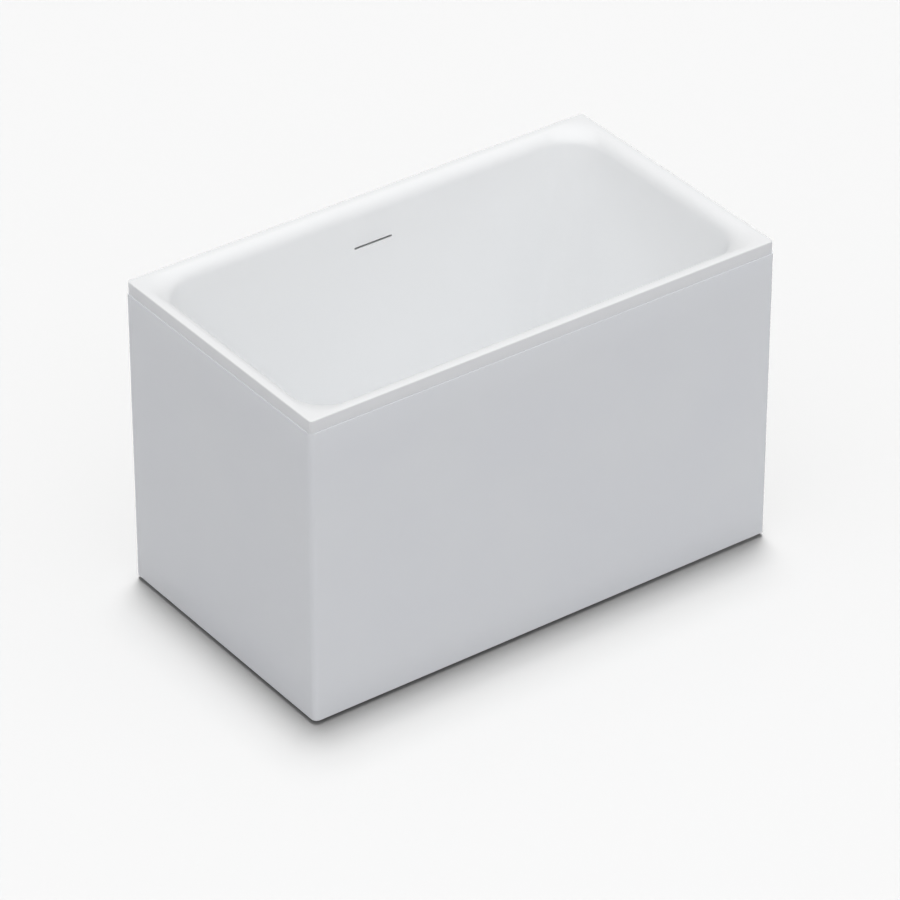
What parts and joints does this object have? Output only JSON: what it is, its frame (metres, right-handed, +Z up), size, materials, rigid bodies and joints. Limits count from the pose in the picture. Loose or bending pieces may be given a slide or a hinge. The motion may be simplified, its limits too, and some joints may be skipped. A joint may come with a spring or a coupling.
{
  "type": "corner bathtub",
  "caption": "Deep rectangular soaking tub for a corner: acrylic basin with slot overflow on a steel cradle, levelling feet, click plug, trap and a removable L-shaped apron.",
  "frame": {"origin": "on the floor under the middle of the tub", "axes": "+X along the length to the right end, the backrest; -Y to the front, the long apron face; +Z up"},
  "size_m": [1.2, 0.675, 0.756],
  "materials": {
    "sanitary_acrylic": "thermoformed white sanitary acrylic, glossy, glass fibre on its back",
    "apron_acrylic": "thermoformed white acrylic sheet, satin gloss",
    "floor_board": "moisture-resistant chipboard, cut edges",
    "spruce": "planed spruce",
    "galvanised_steel": "pre-galvanised square steel tube",
    "zinc_sheet": "zinc-plated bent steel sheet",
    "zinc_fasteners": "bright zinc-plated steel",
    "nickel_magnet": "nickel-plated magnets",
    "black_rubber": "black EPDM",
    "grey_nylon": "moulded dark grey nylon",
    "chromed_brass": "polished chrome on brass",
    "brass": "turned brass",
    "white_plastic": "moulded white polypropylene"
  },
  "bodies": {
    "tub": {"tub_shell": "sanitary_acrylic", "base_board": "floor_board", "rim_batten_front": "spruce", "rim_batten_rear": "spruce", "rim_batten_left": "spruce", "rim_batten_right": "spruce", "bearer_front": "galvanised_steel", "bearer_rear": "galvanised_steel", "cross_member_left": "galvanised_steel", "cross_member_middle": "galvanised_steel", "cross_member_right": "galvanised_steel", "post_front_left": "galvanised_steel", "post_front_right": "galvanised_steel", "post_rear_left": "galvanised_steel", "post_rear_right": "galvanised_steel", "post_brackets": "zinc_sheet", "tube_caps": "grey_nylon", "rim_pads": "black_rubber", "frame_bolts": "zinc_fasteners", "frame_nuts": "zinc_fasteners", "frame_screws": "zinc_fasteners", "board_screws": "zinc_fasteners", "weld_nuts": "zinc_fasteners", "lock_nuts": "zinc_fasteners", "strike_plates": "zinc_sheet", "apron_ledges": "zinc_sheet", "wall_brackets": "zinc_sheet", "waste_flange": "chromed_brass", "waste_washers": "black_rubber", "waste_body": "white_plastic", "plug_cartridge": "brass", "trap_body": "white_plastic", "trap_cup": "white_plastic", "outlet_elbow": "white_plastic", "outlet_pipe": "white_plastic", "coupling_nuts": "white_plastic", "overflow_housing": "white_plastic", "overflow_seal": "black_rubber", "overflow_pipe": "white_plastic", "overflow_elbow": "white_plastic", "link_pipe": "white_plastic"},
    "apron_panel": {"apron": "apron_acrylic", "apron_batten_front_top": "spruce", "apron_batten_front_bottom": "spruce", "apron_batten_side_top": "spruce", "apron_batten_side_bottom": "spruce", "apron_magnets": "nickel_magnet"},
    "waste_plug": {"plug_cap": "chromed_brass", "plug_seal": "black_rubber", "plug_stem": "brass"},
    "foot_front_left": {"foot_pad_front_left": "grey_nylon"},
    "spindle_front_left": {"foot_spindle_front_left": "zinc_fasteners"},
    "foot_front_right": {"foot_pad_front_right": "grey_nylon"},
    "spindle_front_right": {"foot_spindle_front_right": "zinc_fasteners"},
    "foot_rear_left": {"foot_pad_rear_left": "grey_nylon"},
    "spindle_rear_left": {"foot_spindle_rear_left": "zinc_fasteners"},
    "foot_rear_right": {"foot_pad_rear_right": "grey_nylon"},
    "spindle_rear_right": {"foot_spindle_rear_right": "zinc_fasteners"},
    "foot_middle": {"foot_pad_middle": "grey_nylon"},
    "spindle_middle": {"foot_spindle_middle": "zinc_fasteners"}
  },
  "joints": [
    {"name": "apron_pull", "type": "slide", "parent": "tub", "child": "apron_panel", "axis": [-0.7071, -0.7071, 0], "range_m": [0, 0.15]},
    {"name": "plug_lift", "type": "slide", "parent": "tub", "child": "waste_plug", "axis": [0, 0, 1], "range_m": [0, 0.008]},
    {"name": "foot_travel_front_left", "type": "slide", "parent": "tub", "child": "foot_front_left", "axis": [0, 0, -1], "range_m": [-0.006, 0.03]},
    {"name": "foot_turn_front_left", "type": "hinge", "parent": "foot_front_left", "child": "spindle_front_left", "pos_m": [-0.5567, -0.2352, 0.05], "axis": [0, 0, 1], "range_deg": [-6180, 1240]},
    {"name": "foot_travel_front_right", "type": "slide", "parent": "tub", "child": "foot_front_right", "axis": [0, 0, -1], "range_m": [-0.006, 0.03]},
    {"name": "foot_turn_front_right", "type": "hinge", "parent": "foot_front_right", "child": "spindle_front_right", "pos_m": [0.5567, -0.2352, 0.05], "axis": [0, 0, 1], "range_deg": [-6180, 1240]},
    {"name": "foot_travel_rear_left", "type": "slide", "parent": "tub", "child": "foot_rear_left", "axis": [0, 0, -1], "range_m": [-0.006, 0.03]},
    {"name": "foot_turn_rear_left", "type": "hinge", "parent": "foot_rear_left", "child": "spindle_rear_left", "pos_m": [-0.5567, 0.2352, 0.05], "axis": [0, 0, 1], "range_deg": [-6180, 1240]},
    {"name": "foot_travel_rear_right", "type": "slide", "parent": "tub", "child": "foot_rear_right", "axis": [0, 0, -1], "range_m": [-0.006, 0.03]},
    {"name": "foot_turn_rear_right", "type": "hinge", "parent": "foot_rear_right", "child": "spindle_rear_right", "pos_m": [0.5567, 0.2352, 0.05], "axis": [0, 0, 1], "range_deg": [-6180, 1240]},
    {"name": "foot_travel_middle", "type": "slide", "parent": "tub", "child": "foot_middle", "axis": [0, 0, -1], "range_m": [-0.006, 0.03]},
    {"name": "foot_turn_middle", "type": "hinge", "parent": "foot_middle", "child": "spindle_middle", "pos_m": [-0.23, 0, 0.05], "axis": [0, 0, 1], "range_deg": [-6180, 1240]}
  ],
  "couplings": [
    {"joint": "foot_turn_front_left", "follows": "foot_travel_front_left", "rad_per_m": -3590.4},
    {"joint": "foot_turn_front_right", "follows": "foot_travel_front_right", "rad_per_m": -3590.4},
    {"joint": "foot_turn_rear_left", "follows": "foot_travel_rear_left", "rad_per_m": -3590.4},
    {"joint": "foot_turn_rear_right", "follows": "foot_travel_rear_right", "rad_per_m": -3590.4},
    {"joint": "foot_turn_middle", "follows": "foot_travel_middle", "rad_per_m": -3590.4}
  ]
}
